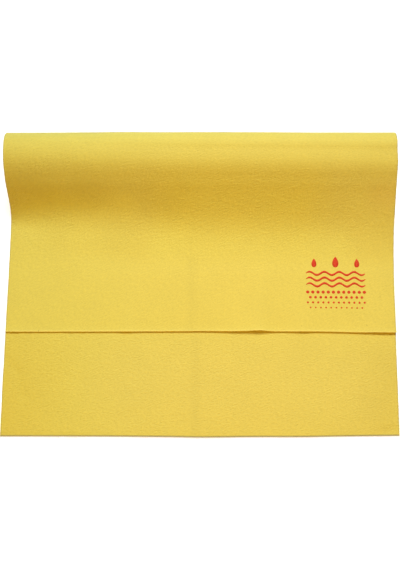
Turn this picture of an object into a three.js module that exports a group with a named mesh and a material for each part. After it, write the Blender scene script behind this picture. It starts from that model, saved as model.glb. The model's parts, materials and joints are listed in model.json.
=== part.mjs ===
// Car drying towel: one sheet of nonwoven microfibre, folded over once and laid on a table.
// Millimetres. +X runs along the fold, +Y points to the fold at the back and +Z points up.
// The origin lies on the table, under the middle of the folded towel.
import * as THREE from "three";

// The cut sheet
const clothWidth = 350;
const cutLength = 490;
const clothThickness = 1;

// How the sheet is folded: all radii are at the middle of the cloth's thickness
const frontStep = 92;
const layerGap = 2;
const heelRadius = 34;
const rearRadius = 21;
const crestRadius = 45;
const troughRadius = 96;

// The cloth bends along hinge lines, which all turn by the same angle
const heelBends = 3;
const rearBends = 9;
const crestBends = 3;
const troughBends = 3;
const bendClearance = 0.4;

// How far the loop sags inside its hinge lines: its rear at the left end, and its crest at the right end
const rearSag = 4.2;
const crestSag = 8.5;

// Where it sags, as pairs of a share of the way round the loop and a share of the sag
const rearSagShares = [[0.1, 0], [0.2, 0.95], [0.28, 0.95], [0.38, 0]];
const crestSagShares = [[0.25, 0], [0.3, 0.25], [0.4, 0.95], [0.46, 1], [0.52, 0.75], [0.58, 0]];

// How the left end's form passes into the right end's, as pairs of a share of the cloth's width
// and the right end's share there
const acrossShares = [[0, 0], [0.28, 0.5], [0.55, 0.8], [1, 1]];

const clothMaterial = new THREE.MeshStandardMaterial({
  name: "cloth",
  color: new THREE.Color("#edce57"),
  roughness: 0.95,
  metalness: 0,
});

// The bends in the order that the cloth takes them, from the lower panel to the upper flap.
// A turn of 1 raises what follows, and a turn of -1 lowers it.
function listBends() {
  const heel = Array.from({ length: heelBends }, () => ({ radius: heelRadius, turn: 1 }));
  const rear = Array.from({ length: rearBends }, () => ({ radius: rearRadius, turn: 1 }));
  const crest = Array.from({ length: crestBends }, () => ({ radius: crestRadius, turn: 1 }));
  const trough = Array.from({ length: troughBends }, () => ({ radius: troughRadius, turn: -1 }));
  return [...heel, ...rear, ...crest, ...trough];
}

// The strips between the bends, each with its length and the direction it runs in.
// Every strip touches the smooth curve at its middle, so its ends reach out to the hinge lines.
function listStrips(bends, bendAngle) {
  const reach = (bend) => bend.radius * Math.tan(bendAngle / 2);
  let turns = 0;
  return bends.slice(0, -1).map((bend, i) => {
    turns += bend.turn;
    const length = reach(bend) + reach(bends[i + 1]);
    return { length, heading: turns * bendAngle };
  });
}

const along = (strips) => strips.reduce((sum, strip) => sum + strip.length * Math.cos(strip.heading), 0);
const rise = (strips) => strips.reduce((sum, strip) => sum + strip.length * Math.sin(strip.heading), 0);
const total = (strips) => strips.reduce((sum, strip) => sum + strip.length, 0);

// The strip of the front slope, between crest and trough, is as long as it takes
// for the upper flap to come down to its place over the lower panel.
function lengthenSlope(strips) {
  const slope = strips[heelBends + rearBends + crestBends - 1];
  const flapRise = clothThickness + layerGap;
  slope.length += (flapRise - rise(strips)) / Math.sin(slope.heading);
}

// Reads a table of pairs at a place, straight between two pairs and level beyond its ends
function readShares(table, place) {
  const next = table.findIndex(([there]) => there >= place);
  if (next === 0) return table[0][1];
  if (next === -1) return table[table.length - 1][1];
  const [before, low] = table[next - 1];
  const [after, high] = table[next];
  return low + ((high - low) * (place - before)) / (after - before);
}

// How far the cloth lies inside its hinge line at a place round the loop
function sagAt(place, rightShare) {
  const left = rearSag * readShares(rearSagShares, place);
  const right = crestSag * readShares(crestSagShares, place);
  return left + (right - left) * rightShare;
}

// A closed solid from sections across the cloth, each with its four corners in the same turning order
function joinSections(sections) {
  const points = sections.flat();
  const faces = [];
  sections.slice(1).forEach((section, i) => {
    section.forEach((point, j) => {
      const here = i * section.length;
      const next = here + section.length;
      const k = (j + 1) % section.length;
      faces.push([here + j, here + k, next + k], [here + j, next + k, next + j]);
    });
  });
  const last = points.length - sections[0].length;
  faces.push([0, 2, 1], [0, 3, 2], [last, last + 1, last + 2], [last, last + 2, last + 3]);
  const geometry = new THREE.BufferGeometry().setFromPoints(points);
  geometry.setIndex(faces.flat());
  geometry.computeVertexNormals();
  return geometry;
}

// One piece of the cloth, from its start at y = 0 to its end at y = length.
// An end at a bend is mitred, half the clearance short of the hinge line; a free end is cut square.
function makeStrip(name, length, start, end) {
  const half = clothThickness / 2;
  const startAt = (z) => (start.angle ? bendClearance / 2 + z * Math.tan(start.angle / 2) : 0);
  const endAt = (z) => (end.angle ? length - bendClearance / 2 - z * Math.tan(end.angle / 2) : length);
  const isLevel = [start, end].every(({ place }) => sagAt(place, 0) === 0 && sagAt(place, 1) === 0);
  const stations = isLevel ? [acrossShares.at(0), acrossShares.at(-1)] : acrossShares;
  const sections = stations.map(([widthShare, rightShare]) => {
    const x = (widthShare - 0.5) * clothWidth;
    const startZ = sagAt(start.place, rightShare);
    const endZ = sagAt(end.place, rightShare);
    return [
      new THREE.Vector3(x, startAt(startZ - half), startZ - half),
      new THREE.Vector3(x, endAt(endZ - half), endZ - half),
      new THREE.Vector3(x, endAt(endZ + half), endZ + half),
      new THREE.Vector3(x, startAt(startZ + half), startZ + half),
    ];
  });
  const mesh = new THREE.Mesh(joinSections(sections), clothMaterial);
  mesh.name = name;
  return mesh;
}

// The lower panel, then one group inside the other for every bend, each with its strip
function makeTowel() {
  const bends = listBends();
  const bendAngle = Math.PI / bends.reduce((sum, bend) => sum + bend.turn, 0);
  const strips = listStrips(bends, bendAngle);
  lengthenSlope(strips);

  const panels = cutLength - total(strips);
  const lowerLength = (panels + frontStep - along(strips)) / 2;
  const flapLength = panels - lowerLength;

  const towel = new THREE.Group();
  let hinge = new THREE.Group();
  hinge.position.z = clothThickness / 2;
  towel.add(hinge);
  const ends = bends.map((bend, i) => {
    return { angle: bend.turn * bendAngle, place: total(strips.slice(0, i)) / total(strips) };
  });
  const lower = makeStrip("lower_panel", lowerLength, { angle: 0, place: 0 }, ends[0]);
  lower.position.y = -lowerLength;
  hinge.add(lower);

  let reached = 0;
  ends.forEach((start, i) => {
    const next = new THREE.Group();
    next.position.y = reached;
    next.rotation.x = start.angle;
    hinge.add(next);
    hinge = next;
    const isFlap = i === bends.length - 1;
    const length = isFlap ? flapLength : strips[i].length;
    const end = isFlap ? { angle: 0, place: 1 } : ends[i + 1];
    const number = String(i + 1).padStart(2, "0");
    const name = isFlap ? "upper_flap" : `fold_strip_${number}`;
    hinge.add(makeStrip(name, length, start, end));
    reached = length;
  });

  // The origin lies under the middle of the folded towel
  const middle = new THREE.Box3().setFromObject(towel, true).getCenter(new THREE.Vector3());
  towel.position.y = -middle.y;
  return towel;
}

export default makeTowel();
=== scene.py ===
"""A car drying towel: one sheet of yellow nonwoven microfibre, folded over once and laid on a pale table.

Metres. +X runs along the fold, +Y points to the fold at the back and +Z points up.
The cloth is one smooth sheet over the frame's hinges, made as one piece for every hinge.
Its texture runs on from piece to piece.

A place on the cloth is told as it lies on the flat sheet: x is its distance from the middle,
and at is its distance from the lower front edge.
"""
import json
import math

import bpy
import numpy as np
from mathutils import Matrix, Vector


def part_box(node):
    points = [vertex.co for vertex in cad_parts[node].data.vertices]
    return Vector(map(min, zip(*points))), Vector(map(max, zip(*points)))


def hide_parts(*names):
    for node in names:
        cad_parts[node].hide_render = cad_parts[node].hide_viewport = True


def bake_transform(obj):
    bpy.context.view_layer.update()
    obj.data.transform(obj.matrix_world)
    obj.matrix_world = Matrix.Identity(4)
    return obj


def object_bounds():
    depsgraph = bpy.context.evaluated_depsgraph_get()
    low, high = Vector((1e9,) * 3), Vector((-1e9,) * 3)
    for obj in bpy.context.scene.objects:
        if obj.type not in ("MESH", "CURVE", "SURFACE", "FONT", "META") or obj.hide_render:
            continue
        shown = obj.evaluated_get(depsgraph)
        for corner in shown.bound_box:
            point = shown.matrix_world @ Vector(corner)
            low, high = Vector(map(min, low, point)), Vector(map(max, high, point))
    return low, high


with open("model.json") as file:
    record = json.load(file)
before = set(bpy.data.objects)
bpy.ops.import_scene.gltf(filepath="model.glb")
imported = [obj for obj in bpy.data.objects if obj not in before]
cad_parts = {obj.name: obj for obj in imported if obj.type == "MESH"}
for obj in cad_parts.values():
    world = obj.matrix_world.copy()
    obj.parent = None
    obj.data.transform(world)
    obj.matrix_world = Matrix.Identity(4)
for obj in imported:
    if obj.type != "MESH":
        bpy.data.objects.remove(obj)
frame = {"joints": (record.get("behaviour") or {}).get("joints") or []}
cad_box = [list(corner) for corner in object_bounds()]

mm = 0.001

# The sheet, read from the frame. The corners of its folded line, in y and z, are its hinges and cut edges.
lower_low, lower_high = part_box("lower_panel")
flap_low, flap_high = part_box("upper_flap")
cloth_width = lower_high.x - lower_low.x
cloth_thickness = flap_high.z - flap_low.z
half_thickness = cloth_thickness / 2
loop_height = cad_box[1][2]
joints = frame["joints"]
hinges = np.array([joint["pos_m"][1:] for joint in joints])
last_hinge = len(hinges) - 1
lower_edge = [lower_low.y, half_thickness]
flap_edge = [flap_low.y, flap_low.z + half_thickness]
corners = np.vstack([lower_edge, hinges, flap_edge])
side_lengths = np.linalg.norm(np.diff(corners, axis=0), axis=1)

# Flat distances of the corners, the hinges, and the seams half way between the hinges
corner_at = np.concatenate([[0], np.cumsum(side_lengths)])
hinge_at = corner_at[1:-1]
cut_length = corner_at[-1]
seam_at = np.concatenate([[0], (hinge_at[:-1] + hinge_at[1:]) / 2, [cut_length]])

# How far the cloth lies inside the frame's outline at its left and right ends:
# places as shares of the loop's length of cloth, depths as shares of the loop's height
left_sag_shares = [
    (0.00, 0.000), (0.10, 0.014), (0.22, 0.092), (0.28, 0.082), (0.36, 0.010), (0.45, 0.000),
    (0.485, 0.002), (0.52, 0.016), (0.56, 0.038), (0.60, 0.051), (0.66, 0.070), (0.72, 0.152),
    (0.77, 0.225), (0.82, 0.247), (0.87, 0.206), (0.92, 0.134), (0.97, 0.088), (1.03, 0.062),
    (1.10, 0.042), (1.20, 0.038), (1.50, 0.036),
]
right_sag_shares = [
    (0.00, 0.000), (0.10, 0.002), (0.22, 0.012), (0.28, 0.024), (0.34, 0.118), (0.40, 0.200),
    (0.44, 0.208), (0.50, 0.196), (0.54, 0.194), (0.58, 0.187), (0.64, 0.137), (0.70, 0.074),
    (0.76, 0.035), (0.82, 0.020), (0.97, 0.016), (1.10, 0.020), (1.20, 0.024), (1.50, 0.026),
]
sag_softness = 0.045

# How far the loop's form has changed from the left end's to the right end's, by shares of the width
toward_right_shares = [
    (0, 0), (0.1, 0.22), (0.18, 0.38), (0.28, 0.53), (0.5, 0.78), (0.7, 0.82), (0.9, 0.86), (1, 1),
]
width_softness = 0.05

# The cloth's slow, slight waves: their height, a crossed one with a length and a turn across and along,
# and slanted ones, each with its lengths across and along, its turn and its strength.
# A length is the one in which the wave goes on by one radian.
packed_height = 0.35 * mm
crossed_wave = (31 * mm, 1.3, 43 * mm, 0.4)
slanted_waves = [
    (17 * mm, 23 * mm, 2.1, 0.7),
    (11 * mm, -14 * mm, 0.7, 0.5),
]

# How softly the cloth is kept inside the frame's outline
outline_softness = 0.10 * mm

# The upper layer comes down between these two hinges, and from there on it stays at least layer_gap
# above the lower one
layer_gap = 0.15 * mm
landing_from = hinge_at[-6]
landing_to = hinge_at[-4]

# The flap's front edge lifts off the lower layer here and there:
# places and spreads as shares of the width, heights as shares of edge_lift
edge_lift = 1.9 * mm
lift_reach = 26 * mm
edge_lift_shares = [
    (0.02, 0.050, 0.30),
    (0.31, 0.022, 0.35),
    (0.60, 0.045, 0.45),
    (0.65, 0.028, 0.95),
    (0.76, 0.020, 0.30),
    (0.97, 0.060, 0.50),
]

# Its last few millimetres curl up all along
edge_curl = 0.42 * mm
curl_reach = 2.0 * mm
curl_power = 1.5

# How the two cut front edges stray from a straight line, towards the front:
# places as shares of the width, lengths as shares of edge_stray
edge_stray = 1.0 * mm
stray_reach = 40 * mm
lower_stray_shares = [
    (0, 1.05), (0.07, 0.85), (0.15, 0.65), (0.28, 0.45), (0.43, 0.50), (0.50, 0.85), (0.63, 0.05),
    (0.76, -0.20), (0.88, -1.15), (1, -1.80),
]
flap_stray_shares = [
    (0, 1.4), (0.07, 1.1), (0.20, 0.8), (0.31, 0.45), (0.40, 0.10), (0.50, -0.45), (0.58, -0.40),
    (0.62, -0.70), (0.65, -1.30), (0.68, -0.65), (0.73, -0.55), (0.80, -0.75), (0.90, -0.20), (1, -0.20),
]
flap_softness = 0.02

# How the two side edges are drawn in: places as shares of the cut length, lengths as shares of edge_stray
left_stray_shares = [
    (0, 0), (0.06, 0.10), (0.09, -0.25), (0.12, -0.10), (0.17, -0.05), (0.25, 0), (0.60, 0), (0.70, -0.10),
    (0.80, -0.05), (0.85, 0.10), (0.90, 0.35), (0.93, 0.25), (0.97, 0.05), (1, 0.20),
]
right_stray_shares = [
    (0, 0.35), (0.06, 0.30), (0.09, 0.20), (0.17, 0.05), (0.25, 0), (0.56, 0.10), (0.64, 0.40), (0.67, 0),
    (0.73, 0), (0.79, -0.10), (0.81, -0.25), (0.84, -0.45), (0.87, -0.40), (0.90, 0), (0.93, 0.10),
    (0.97, -0.10), (1, 0),
]
side_softness = 0.012

# The cut edges are rounded and slightly frayed: the depth of the fray, its fine, middle and coarse lengths,
# and how it slants and turns
edge_round = 0.5 * mm
edge_fray = 0.12 * mm
fray_lengths = (1.9 * mm, 4.7 * mm, 11 * mm)
fray_slant = 25 * mm
fray_turn = 2

# The cloth's mesh, which is finer at a cut edge and has a thin strip along a seam.
# Where less than this share of the thickness is left, its two sides share their points.
grid_step = 2.5 * mm
seam_strip = 0.15 * mm
edge_round_shares = [0, 0.06, 0.25, 0.6, 1, 2, 3.2, 4.8]
shut_share = 0.001


def soft_read(places, table, softness):
    """Reads a table at the given places, with its corners rounded off."""
    readings = 17
    table_places, values = zip(*table)
    nearby = np.linspace(-softness, softness, readings)
    weights = np.cos(nearby / softness * math.pi / 2) ** 2
    read = np.interp(np.asarray(places, float)[..., None] + nearby, table_places, values)
    return (read * weights).sum(-1) / weights.sum()


def smooth_step(share):
    share = np.clip(share, 0, 1)
    return share * share * (3 - 2 * share)


def not_below(values, lowest, softness):
    """Keeps values from going under the lowest one, without a kink."""
    return lowest + softness * np.logaddexp(0, (values - lowest) / softness)


def bend_reach(number):
    """How far a bend reaches before and after its hinge.

    It reaches to the seams. At the first and last hinge it reaches as far towards the cut edge
    as towards the seam.
    """
    before = hinge_at[number] - seam_at[number]
    after = seam_at[number + 1] - hinge_at[number]
    if number == 0:
        before = after
    if number == last_hinge:
        after = before
    return before, after


def middle_line(at):
    """Point and inner normal (y, z) of the smooth line over the hinges, at the flat distances given.

    The line is straight between the bends, and runs straight on beyond both cut edges.
    """
    asked = np.asarray(at, float)
    at = np.clip(asked, 0, cut_length)
    point = np.stack([np.interp(at, corner_at, corners[:, axis]) for axis in (0, 1)], -1)
    side = np.clip(np.searchsorted(corner_at, at, side="right") - 1, 0, len(corners) - 2)
    tangent = (corners[1:] - corners[:-1])[side]
    for number, hinge in enumerate(hinges):
        reach_before, reach_after = bend_reach(number)
        before = (at - (hinge_at[number] - reach_before)) / reach_before
        after = (at - hinge_at[number]) / reach_after
        inside = (before > 0) & (after < 1)
        share = np.where(before < 1, before, 1 + after)[inside][:, None] / 2
        toward = (corners[number] - hinge) / side_lengths[number] * reach_before
        onward = (corners[number + 2] - hinge) / side_lengths[number + 1] * reach_after
        point[inside] = hinge + (1 - share) ** 2 * toward + share ** 2 * onward
        tangent[inside] = share * onward - (1 - share) * toward
    tangent = tangent / np.linalg.norm(tangent, axis=-1, keepdims=True)
    normal = np.stack([-tangent[..., 1], tangent[..., 0]], -1)
    point = point + (asked - at)[..., None] * tangent
    return point, normal


def flap_edge_lift(across, at):
    """How far the flap rises off the lower layer near its front edge."""
    from_edge = np.maximum(cut_length - at, 0)
    rise = 0
    for place, spread, height in edge_lift_shares:
        rise = rise + height * np.exp(-((across - place) / spread) ** 2)
    curl = edge_curl * np.exp(-((from_edge / curl_reach) ** curl_power))
    return edge_lift * rise * np.exp(-from_edge / lift_reach) + curl


def slow_waves(x, at):
    """The slight unevenness of a cloth that was packed, from 0 to about 1."""
    width, width_turn, length, length_turn = crossed_wave
    waves = np.sin(x / width + width_turn) * np.sin(at / length + length_turn)
    most = 1
    for width, length, turn, strength in slanted_waves:
        waves = waves + strength * np.sin(x / width + at / length + turn)
        most = most + strength
    return 0.5 + waves / (2 * most)


def sag(across, at):
    """How far the middle of the cloth lies inside the smooth line over the hinges."""
    place = (at - hinge_at[0]) / (hinge_at[-1] - hinge_at[0])
    left = soft_read(place, left_sag_shares, sag_softness)
    right = soft_read(place, right_sag_shares, sag_softness)
    toward_right = soft_read(across, toward_right_shares, width_softness)
    return loop_height * (left + (right - left) * toward_right)


def cloth_points(x, at, depth):
    """Points of the folded cloth at these flat places, and this deep from its middle to its inner side."""
    across = x / cloth_width + 0.5
    lower_pull = soft_read(across, lower_stray_shares, width_softness) * edge_stray
    flap_pull = soft_read(across, flap_stray_shares, flap_softness) * edge_stray
    lower_share = smooth_step(1 - at / stray_reach)
    flap_share = smooth_step(1 - (cut_length - at) / stray_reach)
    strayed = at - lower_pull * lower_share + flap_pull * flap_share
    point, normal = middle_line(strayed)
    inward = sag(across, strayed) + packed_height * slow_waves(x, at)
    inward = not_below(inward, 0, outline_softness) - flap_edge_lift(across, at)
    place = point + inward[..., None] * normal

    # The upper layer stays above the lower one
    landed = smooth_step((at - landing_from) / (landing_to - landing_from))
    lowest = cloth_thickness + half_thickness + layer_gap
    raised = not_below(place[..., 1], lowest, layer_gap)
    place[..., 1] += (raised - place[..., 1]) * landed
    return np.stack([x, place[..., 0] + depth * normal[..., 0], place[..., 1] + depth * normal[..., 1]], -1)


def edge_places(length, start_kind, end_kind):
    """Distances along one side of a piece, closer together at a cut edge or a seam."""
    near_edge = {"cut": [edge_round * share for share in edge_round_shares], "seam": [0, seam_strip]}
    start, end = near_edge[start_kind], near_edge[end_kind]
    count = max(2, round((length - start[-1] - end[-1]) / grid_step) + 1)
    between = np.linspace(start[-1], length - end[-1], count)
    return np.concatenate([start[:-1], between, [length - place for place in reversed(end[:-1])]])


def edge_thinning(distance):
    """The share of the cloth's thickness that is left this near to a cut edge, which is rounded."""
    inside = np.clip(distance / edge_round, 0, 1)
    return np.sqrt(np.clip(1 - (1 - inside) ** 2, 0, 1))


def fray(x, at):
    """How far the cut edge is drawn in, as its fibres stand unevenly."""
    fine, middle, coarse = fray_lengths
    rough = np.sin(at / fine + x / fray_slant) * np.sin(at / middle) + np.sin(at / coarse + fray_turn)
    return edge_fray * (1 + rough / 2)


def side_stray(x, at):
    """How far the nearer side edge is drawn in."""
    left = soft_read(at / cut_length, left_stray_shares, side_softness)
    right = soft_read(at / cut_length, right_stray_shares, side_softness)
    return edge_stray * np.where(x < 0, left, right)


def make_mesh(name, points, faces, places, sharp_edges=()):
    """A smooth mesh, whose coordinates in "Cloth" are its places on the flat cloth in metres."""
    mesh = bpy.data.meshes.new(name)
    mesh.from_pydata(points.tolist(), [], faces)
    mesh.validate()
    mesh.update()
    layer = mesh.uv_layers.new(name="Cloth")
    corner_vertices = np.zeros(len(mesh.loops), dtype=np.int32)
    mesh.loops.foreach_get("vertex_index", corner_vertices)
    layer.data.foreach_set("uv", places[corner_vertices].astype(np.float32).ravel())
    mesh.polygons.foreach_set("use_smooth", [True] * len(mesh.polygons))
    if sharp_edges:
        for edge in mesh.edges:
            edge.use_edge_sharp = tuple(sorted(edge.vertices)) in sharp_edges
    piece = bpy.data.objects.new(name, mesh)
    bpy.context.scene.collection.objects.link(piece)
    return piece


def from_left_edge(x, at):
    """Places on the flat cloth, measured from its lower left corner."""
    return np.stack([x.ravel() + cloth_width / 2, at.ravel()], -1)


def without_repeats(face):
    return [vertex for position, vertex in enumerate(face) if vertex != face[position - 1]]


def side_faces(outer, inner):
    """The faces of a sheet's two sides, from the grids of its points' numbers."""
    faces = []
    rows, columns = outer.shape
    for row in range(rows - 1):
        for column in range(columns - 1):
            ring = [(row, column), (row + 1, column), (row + 1, column + 1), (row, column + 1)]
            faces.append([outer[spot] for spot in ring])
            faces.append(without_repeats([inner[spot] for spot in reversed(ring)]))
    return faces


def seam_faces(outer, inner, row):
    """The faces that close a sheet at its first or last row, and their edges along the row."""
    faces, edges = [], []
    for column in range(outer.shape[1] - 1):
        ring = [outer[row, column], outer[row, column + 1], inner[row, column + 1], inner[row, column]]
        faces.append(without_repeats(ring if row == 0 else ring[::-1]))
        edges += [ring[:2], ring[2:]]
    return faces, edges


def make_cloth_piece(number):
    """The closed piece of the cloth round one hinge, from seam to seam or to the cut edge."""
    is_first, is_last = number == 0, number == last_hinge
    start_kind, end_kind = "cut" if is_first else "seam", "cut" if is_last else "seam"
    length = seam_at[number + 1] - seam_at[number]
    rows = seam_at[number] + edge_places(length, start_kind, end_kind)
    columns = -cloth_width / 2 + edge_places(cloth_width, "cut", "cut")
    x, at = np.meshgrid(columns, rows)

    # Its points, rounded off at the cut edges and drawn in at the sides
    side = cloth_width / 2 - np.abs(x)
    thinning = edge_thinning(side) * edge_thinning(at) * edge_thinning(cut_length - at)
    drawn_in = fray(x, at) * smooth_step(1 - side / grid_step)
    drawn_in = drawn_in + side_stray(x, at) * smooth_step(1 - side / stray_reach)
    inset_x = x - np.sign(x) * drawn_in
    outer_points = cloth_points(inset_x, at, -half_thickness * thinning)
    inner_points = cloth_points(inset_x, at, half_thickness * thinning)
    points = np.concatenate([outer_points.reshape(-1, 3), inner_points.reshape(-1, 3)])
    places = np.concatenate([from_left_edge(x, at)] * 2)

    # Its faces. The two sides share their points along a cut edge.
    outer = np.arange(x.size).reshape(x.shape)
    inner = np.where(thinning < shut_share, outer, x.size + outer)
    faces = side_faces(outer, inner)
    sharp_edges = []
    for row, is_cut in ((0, is_first), (len(rows) - 1, is_last)):
        if not is_cut:
            closing, edges = seam_faces(outer, inner, row)
            faces += closing
            sharp_edges += edges

    # Only the points that its faces use are kept
    used = np.unique(np.concatenate([np.asarray(face) for face in faces]))
    renumbered = np.full(len(points), -1)
    renumbered[used] = np.arange(len(used))
    faces = [[int(renumbered[vertex]) for vertex in face] for face in faces]
    sharp_edges = {tuple(sorted(int(renumbered[vertex]) for vertex in edge)) for edge in sharp_edges}
    return make_mesh(f"cloth_{number + 1:02d}", points[used], faces, places[used], sharp_edges)


def bend_with(piece, number):
    """Bakes the piece's placement into its mesh. The ends of its bend are worked out but not used."""
    before, after = bend_reach(number)
    ends = middle_line(np.array([hinge_at[number] - before, hinge_at[number] + after]))[0]
    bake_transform(piece)


def add_node(tree, kind, inputs=None, **settings):
    """A new node with these inputs, each of them a value or another node's socket."""
    made = tree.nodes.new(kind)
    for name, value in settings.items():
        setattr(made, name, value)
    for name, value in (inputs or {}).items():
        socket = made.inputs[name]
        if isinstance(value, bpy.types.NodeSocket):
            tree.links.new(value, socket)
        else:
            socket.default_value = value
    return made


def calculate(tree, operation, first, second=0.0, third=0.0, clamp=False):
    inputs = {0: first, 1: second, 2: third}
    return add_node(tree, "ShaderNodeMath", inputs, operation=operation, use_clamp=clamp).outputs[0]


def vector_node(tree, operation, inputs):
    return add_node(tree, "ShaderNodeVectorMath", inputs, operation=operation)


def weighted_sum(tree, parts):
    """The sum of sockets, each times its weight."""
    total = 0.0
    for socket, weight in parts:
        total = calculate(tree, "MULTIPLY_ADD", socket, weight, total)
    return total


def ramp(tree, value, start, end, first, last, kind="SMOOTHSTEP"):
    """Passes from the first number to the last one as the value goes from start to end."""
    inputs = {"Value": value, "From Min": start, "From Max": end, "To Min": first, "To Max": last}
    return add_node(tree, "ShaderNodeMapRange", inputs, interpolation_type=kind).outputs[0]


def blend_colours(tree, share, first, second):
    inputs = {0: share, 6: first, 7: second}
    return add_node(tree, "ShaderNodeMix", inputs, data_type="RGBA").outputs[2]


def start_material(name):
    """A new material and its empty node tree."""
    material = bpy.data.materials.new(name)
    material.use_nodes = True
    material.node_tree.nodes.clear()
    return material, material.node_tree


def seen_by(tree, *kinds):
    """1 for these kinds of rays and 0 for all others."""
    rays = add_node(tree, "ShaderNodeLightPath").outputs
    seen = rays[kinds[0]]
    for kind in kinds[1:]:
        seen = calculate(tree, "MAXIMUM", seen, rays[kind])
    return seen


def cloth_place(tree):
    return add_node(tree, "ShaderNodeUVMap", uv_map="Cloth").outputs["UV"]


def noise(tree, place, size, detail=2.0, turn=0.0, stretch=1.0):
    """Noise with features of the given size in metres, drawn out along its turned direction."""
    scale = (1 / (size * stretch), 1 / size, 1 / size)
    inputs = {"Vector": place, "Angle": turn}
    turned = add_node(tree, "ShaderNodeVectorRotate", inputs, rotation_type="Z_AXIS").outputs[0]
    scaled = vector_node(tree, "MULTIPLY", {0: turned, 1: scale}).outputs[0]
    inputs = {"Vector": scaled, "Scale": 1.0, "Detail": detail, "Roughness": 0.55}
    return add_node(tree, "ShaderNodeTexNoise", inputs).outputs["Fac"]


def line_mask(tree, place, start, end, width):
    """1 on the line from start to end, falling to 0 at this width from it.

    Start and end are shares of the width and of the cut length.
    """
    start, end = (np.array([x * cloth_width, y * cut_length, 0.0]) for x, y in (start, end))
    course = end - start
    step = course / (course @ course)
    away = vector_node(tree, "SUBTRACT", {0: place, 1: tuple(start)}).outputs[0]
    along = vector_node(tree, "DOT_PRODUCT", {0: away, 1: tuple(step)}).outputs["Value"]
    along = calculate(tree, "ADD", along, 0.0, clamp=True)
    nearest = vector_node(tree, "SCALE", {0: tuple(course), "Scale": along}).outputs[0]
    distance = vector_node(tree, "DISTANCE", {0: away, 1: nearest}).outputs["Value"]
    return ramp(tree, distance, width, 0.0, 0.0, 1.0)


# The nap: ripples that slant one way on the lower layer and the other way on the upper one,
# suede-like lumps, and single fibres, each with its size and height
lower_ripples = {"size": 1.1 * mm, "turn": math.radians(-25), "stretch": 2.6}
upper_ripples = {"size": 1.0 * mm, "turn": math.radians(36), "stretch": 3.2}
ripple_turn_from = seam_at[3]
ripple_turn_to = seam_at[8]
ripple_height = 0.87 * mm
lump_size = 2.4 * mm
lump_height = 0.35 * mm
fibre_size = 0.55 * mm
fibre_height = 0.28 * mm
nap_strength = 0.6

# The nap changes between two flat distances, and is this many times as high from there on
nap_changes = [
    (seam_at[0], seam_at[1], 0.75),
    (hinge_at[12], hinge_at[14], 1.3),
    (hinge_at[16], seam_at[-1] - 60 * mm, 0.52),
]

# Where the nap stands higher: from one place to another as shares of the width and of the cut length,
# with its width and how many times higher the nap is there
nap_patch_shares = ((0.00, 0.725), (0.07, 0.725), 80 * mm, 2.0)

# Creases left by packing, each from one place to another as shares of the width and of the cut length,
# with its width and depth. The first ones are the upright crease, along which shade is painted into the
# colour too.
crease_shares = [
    ((0.488, 0.00), (0.486, 0.20), 7.0 * mm, 0.10 * mm),
    ((0.477, 0.87), (0.475, 1.00), 8.0 * mm, 0.10 * mm),
    ((0.005, 0.135), (0.035, 0.113), 6.5 * mm, 0.45 * mm),
    ((0.035, 0.113), (0.052, 0.070), 7.0 * mm, 0.40 * mm),
    ((0.290, 0.030), (0.355, 0.034), 10.0 * mm, 0.22 * mm),
    ((0.960, 0.008), (0.985, 0.012), 6.0 * mm, 0.50 * mm),
]
upright_creases = 2
crease_painted_shade = 0.036

# The cloth's colour, and how much lighter or darker the nap's ripples, lumps, fine mottling
# and broad, faint clouds make it. On the ripples this is painted shade in their hollows and painted light on
# their crests.
cloth_yellow = (0.83, 0.660, 0.086)
mottle_size = 0.9 * mm
cloud_size = 28 * mm
ripple_painted_shade = 0.22
lump_shade = 0.05
mottle_shade = 0.10
cloud_shade = 0.07

# Painted light and shade: patches made lighter, paler, darker or more saturated where the light falls
# differently on the loop's ends, its front slope and the lower layer. Each goes from one place to another as
# shares of the width and of the cut length, with its width and how many times stronger its red, green and
# blue are
painted_light_and_shade_shares = [
    ((0.00, 0.00), (0.00, 1.00), 220 * mm, (0.945, 0.995, 1.00)),
    ((0.00, 0.00), (0.02, 0.12), 75 * mm, (0.99, 0.95, 0.80)),
    ((0.35, 0.09), (0.85, 0.09), 80 * mm, (1.00, 1.00, 1.15)),
    ((0.45, 0.755), (0.74, 0.755), 50 * mm, (1.00, 0.99, 0.74)),
    ((0.03, 0.778), (0.30, 0.765), 20 * mm, (1.08, 1.10, 1.08)),
    ((0.00, 0.742), (0.13, 0.742), 32 * mm, (1.06, 1.08, 1.13)),
    ((0.40, 0.84), (0.85, 0.84), 26 * mm, (1.03, 1.06, 1.10)),
    ((0.97, 0.745), (1.00, 0.745), 25 * mm, (0.99, 0.93, 0.92)),
    ((0.96, 0.02), (1.00, 0.12), 45 * mm, (0.96, 0.95, 0.93)),
]

# A painted highlight along the flap's raised cut edge, and painted shade along the cut edges at the sides and
# the lower front:
# up to which distance from the edge each is full, where it ends, and how strong it is
painted_highlight_yellow = (0.98, 0.78, 0.16, 1)
painted_edge_shade_yellow = (0.405, 0.365, 0.115, 1)
flap_painted_highlight = (0.6 * mm, 1.6 * mm, 0.55)
side_painted_edge_shade = (0.3 * mm, 1.8 * mm, 0.35)
front_painted_edge_shade = (0.7 * mm, 1.5 * mm, 0.95)

# Specks in the nap: their places as shares of the width and of the cut length, and how dark they are
speck_shares = [(0.086, 0.9975, 1.0), (0.925, 0.986, 0.6), (0.962, 0.932, 0.5), (0.758, 0.989, 0.5)]
speck_length_share = 0.001
speck_size = 0.9 * mm
speck_brown = (0.42, 0.28, 0.03, 1)
speck_strength = 0.6

# The print's colours, and where it is worn: the size of the worn spots, from which noise on they show,
# and how far they pass into the worn colour
print_red = (0.74, 0.045, 0.014, 1)
worn_red = (0.86, 0.20, 0.03, 1)
wear_size = 1.2 * mm
wear_from = 0.50
wear_to = 0.72
wear_strength = 0.55


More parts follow.
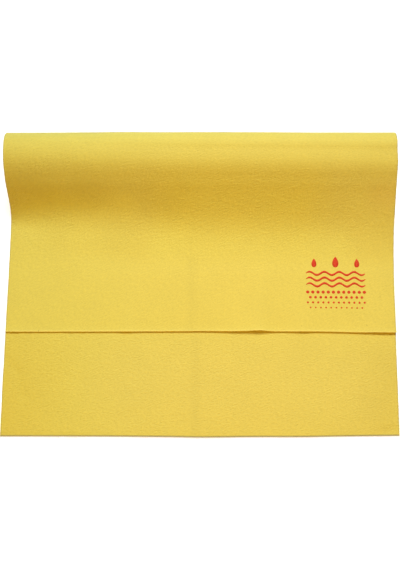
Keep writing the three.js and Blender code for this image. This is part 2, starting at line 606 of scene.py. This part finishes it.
def cloth_relief(tree, place):
    """The height of the nap in metres, and the noises of its ripples and lumps."""
    lower = noise(tree, place, detail=1.0, **lower_ripples)
    upper = noise(tree, place, detail=1.0, **upper_ripples)
    at = add_node(tree, "ShaderNodeSeparateXYZ", {0: place}).outputs["Y"]
    turned = ramp(tree, at, ripple_turn_from, ripple_turn_to, 0.0, 1.0)
    ripple = add_node(tree, "ShaderNodeMix", {0: turned, 2: lower, 3: upper}).outputs[0]
    lumps = noise(tree, place, lump_size, detail=3.0)
    fibres = noise(tree, place, fibre_size)
    height = weighted_sum(tree, [(ripple, ripple_height), (lumps, lump_height), (fibres, fibre_height)])
    for start, end, change in nap_changes:
        height = calculate(tree, "MULTIPLY", height, ramp(tree, at, start, end, 1.0, change))
    start, end, width, change = nap_patch_shares
    patch = line_mask(tree, place, start, end, width)
    higher = calculate(tree, "MULTIPLY_ADD", patch, change - 1, 1.0)
    return calculate(tree, "MULTIPLY", height, higher), ripple, lumps


def paint_light_and_shade(tree, colour, mask, strengths):
    """The colour with its red, green and blue made this many times stronger where the mask is 1."""
    change = tuple(strength - 1 for strength in strengths)
    masked = vector_node(tree, "SCALE", {0: change, "Scale": mask}).outputs[0]
    factors = vector_node(tree, "ADD", {0: masked, 1: (1, 1, 1)}).outputs[0]
    return vector_node(tree, "MULTIPLY", {0: colour, 1: factors}).outputs[0]


def cloth_colour(tree, place, ripple, lumps, upright_shade_masks):
    """The dyed yellow, lighter and darker by the nap, with painted shade and light on its ripples, painted
    shade along the upright crease and painted light and shade in patches. A noise of a half leaves it as it
    is.
    """
    clouds = noise(tree, place, cloud_size)
    mottle = noise(tree, place, mottle_size)
    # The ripples darken the colour in their hollows and lighten it on their crests: painted shade and light
    shades = [(ripple, ripple_painted_shade), (lumps, lump_shade), (clouds, cloud_shade), (mottle, mottle_shade)]
    middle = sum(shade for socket, shade in shades) / 2
    # Painted shade along the upright crease
    shades += [(mask, -crease_painted_shade) for mask in upright_shade_masks]
    tone = calculate(tree, "ADD", weighted_sum(tree, shades), 1 - middle)
    colour = vector_node(tree, "SCALE", {0: cloth_yellow, "Scale": tone}).outputs[0]
    # Painted light and shade, patch by patch
    for start, end, width, strengths in painted_light_and_shade_shares:
        mask = line_mask(tree, place, start, end, width)
        colour = paint_light_and_shade(tree, colour, mask, strengths)
    return colour


def colour_edges(tree, place, colour):
    """The colour with a painted highlight along the flap's cut edge and painted shade along the other cut
    edges.
    """
    distances = add_node(tree, "ShaderNodeSeparateXYZ", {0: place}).outputs
    from_left, from_front = distances["X"], distances["Y"]
    from_right = calculate(tree, "SUBTRACT", cloth_width, from_left)
    from_flap_edge = calculate(tree, "SUBTRACT", cut_length, from_front)
    from_side = calculate(tree, "MINIMUM", from_left, from_right)
    masks = []
    edges = [(from_flap_edge, flap_painted_highlight), (from_side, side_painted_edge_shade), (from_front, front_painted_edge_shade)]
    for distance, (full, none, strength) in edges:
        masks.append(ramp(tree, distance, full, none, strength, 0.0))
    painted_highlight, side, front = masks
    # Painted highlight along the flap's cut edge
    colour = blend_colours(tree, painted_highlight, colour, painted_highlight_yellow)
    # Painted shade along the side and lower front cut edges
    painted_edge_shade = calculate(tree, "MAXIMUM", side, front)
    return blend_colours(tree, painted_edge_shade, colour, painted_edge_shade_yellow)


def add_specks(tree, place, colour):
    specks = []
    for across, along, strength in speck_shares:
        start, end = (across, along), (across, along + speck_length_share)
        specks.append((line_mask(tree, place, start, end, speck_size), strength))
    dirt = calculate(tree, "MULTIPLY", weighted_sum(tree, specks), speck_strength, clamp=True)
    return blend_colours(tree, dirt, colour, speck_brown)


def finish_material(tree, height, inputs):
    """Ends the material in a surface with these inputs, raised by the nap."""
    bump = add_node(tree, "ShaderNodeBump", {"Height": height, "Strength": nap_strength, "Distance": 1.0})
    shader = add_node(tree, "ShaderNodeBsdfPrincipled", {**inputs, "Normal": bump.outputs[0]})
    add_node(tree, "ShaderNodeOutputMaterial", {"Surface": shader.outputs[0]})


def cloth_material():
    material, tree = start_material("cloth")
    place = cloth_place(tree)
    height, ripple, lumps = cloth_relief(tree, place)
    masks = [line_mask(tree, place, start, end, width) for start, end, width, depth in crease_shares]
    dents = weighted_sum(tree, [(mask, -crease[3]) for mask, crease in zip(masks, crease_shares)])
    height = calculate(tree, "ADD", height, dents)
    colour = cloth_colour(tree, place, ripple, lumps, masks[:upright_creases])
    colour = colour_edges(tree, place, colour)
    colour = add_specks(tree, place, colour)
    finish_material(tree, height, {
        "Base Color": colour,
        "Roughness": 0.7,
        "Sheen Weight": 0.3,
        "Sheen Roughness": 0.5,
        "Sheen Tint": (1.0, 0.97, 0.85, 1),
        "Specular IOR Level": 0.5,
    })
    return material


def print_material():
    """Red ink over the same nap, thinly worn in small spots."""
    material, tree = start_material("print")
    place = cloth_place(tree)
    height = cloth_relief(tree, place)[0]
    spots = noise(tree, place, wear_size, detail=3.0)
    worn = ramp(tree, spots, wear_from, wear_to, 0.0, wear_strength, kind="LINEAR")
    finish_material(tree, height, {
        "Base Color": blend_colours(tree, worn, print_red, worn_red),
        "Roughness": 0.75,
        "Specular IOR Level": 0.3,
    })
    return material


# The print on the flap: its middle and size on the cloth, and how its films lie on it
print_middle_x = 122 * mm
print_middle_at = cut_length - 44.5 * mm
print_width = 54 * mm
print_height = 48 * mm
film_lift = 0.05 * mm
film_root = 0.10 * mm

# Three wavy lines: their heights as shares of the print's height, their strokes, which narrow towards
# blunt tips, and how finely they are made
wave_rows_shares = [0.20, 0.09, -0.02]
wave_count = 4
wave_rise = 1.5 * mm
wave_stroke = 2.0 * mm
wave_tip_share = 0.1
wave_bluntness = 8
steps_per_wave = 24

# Three drops: their places as shares of the print's size, and their scales.
# Their sides follow a curve with this fullness, which ends in a point.
drop_shares = [(-0.36, 0.40, 0.80), (0.0, 0.42, 1.0), (0.36, 0.40, 0.80)]
drop_width = 7.0 * mm
drop_height = 10.0 * mm
drop_fullness = 2.05
drop_point = 0.9

# Four rows of dots, smaller by dot_shrink from row to row. Every second row is set off by half a column.
dot_rows_shares = [-0.16, -0.26, -0.36, -0.46]
dot_columns = 12
dot_size = 2.9 * mm
dot_shrink = 0.16

# A drop or dot is made in this many rows, which stop short of its very tips
round_rows = 15
round_tip_share = 0.01


def film_from_strips(strips):
    """Points, faces and places of closed films, each given as rows of (x, at) pairs across a strip."""
    points, faces, places = [], [], []
    for strip in strips:
        strip = np.array(strip)
        x, at = strip[..., 0], strip[..., 1]
        top = np.arange(x.size).reshape(x.shape) + len(points)
        bottom = top + x.size
        for depth in (-half_thickness - film_lift, -half_thickness + film_root):
            points.extend(cloth_points(x, at, np.full(x.shape, depth)).reshape(-1, 3))
            places.extend(from_left_edge(x, at))
        rows, columns = x.shape
        for row in range(rows - 1):
            for column in range(columns - 1):
                ring = [(row, column), (row, column + 1), (row + 1, column + 1), (row + 1, column)]
                faces.append([int(top[spot]) for spot in ring])
                faces.append([int(bottom[spot]) for spot in reversed(ring)])
        rim = [(0, column) for column in range(columns)]
        rim += [(row, columns - 1) for row in range(1, rows)]
        rim += [(rows - 1, column) for column in range(columns - 2, -1, -1)]
        rim += [(row, 0) for row in range(rows - 2, 0, -1)]
        for here, there in zip(rim, rim[1:] + rim[:1]):
            ring = [top[there], top[here], bottom[here], bottom[there]]
            faces.append([int(vertex) for vertex in ring])
    return np.array(points), faces, np.array(places)


def on_print(right, up):
    """x and flat distance of a point on the print. Seen from above, up the picture is back along the flap."""
    return (print_middle_x + right, print_middle_at - up)


def wave_strip(up):
    """A wavy line across the print, at this height over its middle."""
    strip = []
    for share in np.linspace(-0.5, 0.5, steps_per_wave * wave_count + 1):
        right = share * print_width
        rise = wave_rise * math.sin(share * wave_count * 2 * math.pi)
        taper = math.sqrt(max(0.0, 1 - (2 * share) ** wave_bluntness)) * (1 - wave_tip_share) + wave_tip_share
        half = wave_stroke / 2 * taper
        strip.append([on_print(right, up + rise - half), on_print(right, up + rise + half)])
    return strip


def round_strip(right, up, half_width_at, height):
    """A filled shape, made of rows from its bottom to its top."""
    strip = []
    for share in np.linspace(round_tip_share, 1 - round_tip_share, round_rows):
        rise = height / 2 * -math.cos(share * math.pi)
        half = half_width_at(share)
        strip.append([on_print(right + side * half, up + rise) for side in (-1, 0, 1)])
    return strip


def drop_strip(right, up, scale):
    def half_width(share):
        rise = (1 - math.cos(share * math.pi)) / 2
        return drop_width / 2 * scale * math.sqrt(rise) * (1 - rise) ** drop_point * drop_fullness
    return round_strip(right, up, half_width, drop_height * scale)


def dot_strip(right, up, size):
    return round_strip(right, up, lambda share: size / 2 * math.sin(share * math.pi), size)


def dot_strips():
    dots = []
    for row, up in enumerate(dot_rows_shares):
        size = dot_size * (1 - dot_shrink * row)
        is_set_off = row % 2
        for column in range(dot_columns - is_set_off):
            share = (column + is_set_off / 2) / (dot_columns - 1)
            right = (share - 0.5) * (print_width - dot_size)
            dots.append(dot_strip(right, up * print_height, size))
    return dots


def make_print():
    waves = [wave_strip(up * print_height) for up in wave_rows_shares]
    drops = [drop_strip(right * print_width, up * print_height, scale) for right, up, scale in drop_shares]
    made = []
    for name, strips in (("print_waves", waves), ("print_drops", drops), ("print_dots", dot_strips())):
        made.append(make_mesh(name, *film_from_strips(strips)))
    return made


def make_towel():
    cloth = cloth_material()
    nodes = ["lower_panel"] + [joint["child"] for joint in joints]
    for number in range(len(hinges)):
        piece = make_cloth_piece(number)
        piece.data.materials.append(cloth)
        bend_with(piece, number)
        is_last = number == last_hinge
        replaced = nodes[number:number + 2] if is_last else nodes[number:number + 1]
        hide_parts(*replaced)
    ink = print_material()
    for piece in make_print():
        piece.data.materials.append(ink)
        bend_with(piece, last_hinge)


# The photograph's camera: its place in metres, how far it tilts up from straight down, how far it turns,
# and its focal length in the photograph's pixels
camera_place = (0.0001, -0.1441, 0.712)
camera_tilt = math.radians(11.35)
camera_turn = math.radians(0.38)
photo_height = 570
focal_pixels = 800
sensor_side = 36

# The table: its size in metres, between which distances from the middle its glow grows to plain white,
# the glow near the towel, its own grey, and how far it lies under the towel
table_side = 40.0
glow_from = 0.12
glow_to = 0.50
near_glow = 0.50
table_grey = (0.85, 0.85, 0.85, 1)
table_drop = 0.2 * mm

# The faint light from all round
studio_white = (1, 1, 1, 1)
studio_light = 0.04


def make_camera():
    camera = bpy.data.objects.new("camera", bpy.data.cameras.new("camera"))
    camera.data.sensor_width = sensor_side
    camera.data.lens = sensor_side * focal_pixels / photo_height
    camera.location = camera_place
    camera.rotation_euler = (camera_tilt, 0, camera_turn)
    bpy.context.scene.collection.objects.link(camera)
    bpy.context.scene.camera = camera


def table_material():
    """White, with a glow for the camera that grows with the distance from the towel."""
    material, tree = start_material("table_white")
    seen = seen_by(tree, "Is Camera Ray", "Is Glossy Ray")
    place = add_node(tree, "ShaderNodeTexCoord").outputs["Object"]
    distance = vector_node(tree, "LENGTH", {0: place}).outputs["Value"]
    glow = calculate(tree, "MULTIPLY", seen, ramp(tree, distance, glow_from, glow_to, near_glow, 1.0))
    diffuse = add_node(tree, "ShaderNodeBsdfDiffuse", {"Color": table_grey})
    emission = add_node(tree, "ShaderNodeEmission", {"Color": studio_white, "Strength": glow})
    both = add_node(tree, "ShaderNodeAddShader", {0: diffuse.outputs[0], 1: emission.outputs[0]})
    add_node(tree, "ShaderNodeOutputMaterial", {"Surface": both.outputs[0]})
    return material


def make_floor():
    """A white table top, which keeps the towel's soft shadow and turns plain white further out."""
    half = table_side / 2
    points = [(x * half, y * half, -table_drop) for x, y in ((-1, -1), (1, -1), (1, 1), (-1, 1))]
    mesh = bpy.data.meshes.new("floor")
    mesh.from_pydata(points, [], [(0, 1, 2, 3)])
    mesh.materials.append(table_material())
    floor = bpy.data.objects.new("floor", mesh)
    bpy.context.scene.collection.objects.link(floor)


def make_world():
    """Plain white for the camera, and a faint soft light for the towel."""
    world = bpy.data.worlds.new("studio")
    world.use_nodes = True
    bpy.context.scene.world = world
    tree = world.node_tree
    tree.nodes.clear()
    seen = seen_by(tree, "Is Camera Ray", "Is Glossy Ray", "Is Transmission Ray")
    soft = add_node(tree, "ShaderNodeBackground", {"Color": studio_white, "Strength": studio_light})
    white = add_node(tree, "ShaderNodeBackground", {"Color": studio_white, "Strength": 1.0})
    mixed = add_node(tree, "ShaderNodeMixShader", {0: seen, 1: soft.outputs[0], 2: white.outputs[0]})
    add_node(tree, "ShaderNodeOutputWorld", {"Surface": mixed.outputs[0]})


def aim(thing, target):
    """Turns a thing to face the target from its place."""
    direction = [there - here for here, there in zip(thing.location, target)]
    flat = math.hypot(direction[0], direction[1])
    thing.rotation_euler = (math.atan2(flat, -direction[2]), 0, math.atan2(-direction[0], direction[1]))


def add_softbox(name, place, target, side, spread, power, colour):
    lamp = bpy.data.lights.new(name, "AREA")
    lamp.shape = "SQUARE"
    lamp.size = side
    lamp.spread = math.radians(spread)
    lamp.energy = power
    lamp.color = colour
    box = bpy.data.objects.new(name, lamp)
    box.location = place
    aim(box, target)
    bpy.context.scene.collection.objects.link(box)


def make_lights():
    """A soft light from behind, narrowed towards the towel, and a wide warm one from the front."""
    add_softbox(
        "key", place=(0.1, 1.43, 1.71), target=(0.025, 0.03, 0), side=0.9, spread=38, power=3.1,
        colour=(0.91, 1.0, 1.12),
    )
    add_softbox(
        "fill", place=(-0.12, -1.0, 1.25), target=(0, 0, 0), side=1.0, spread=180, power=12.2,
        colour=(1.0, 0.56, 0.03),
    )


def set_view():
    bpy.context.scene.view_settings.view_transform = "Standard"


make_towel()
make_camera()
make_floor()
make_world()
make_lights()
set_view()
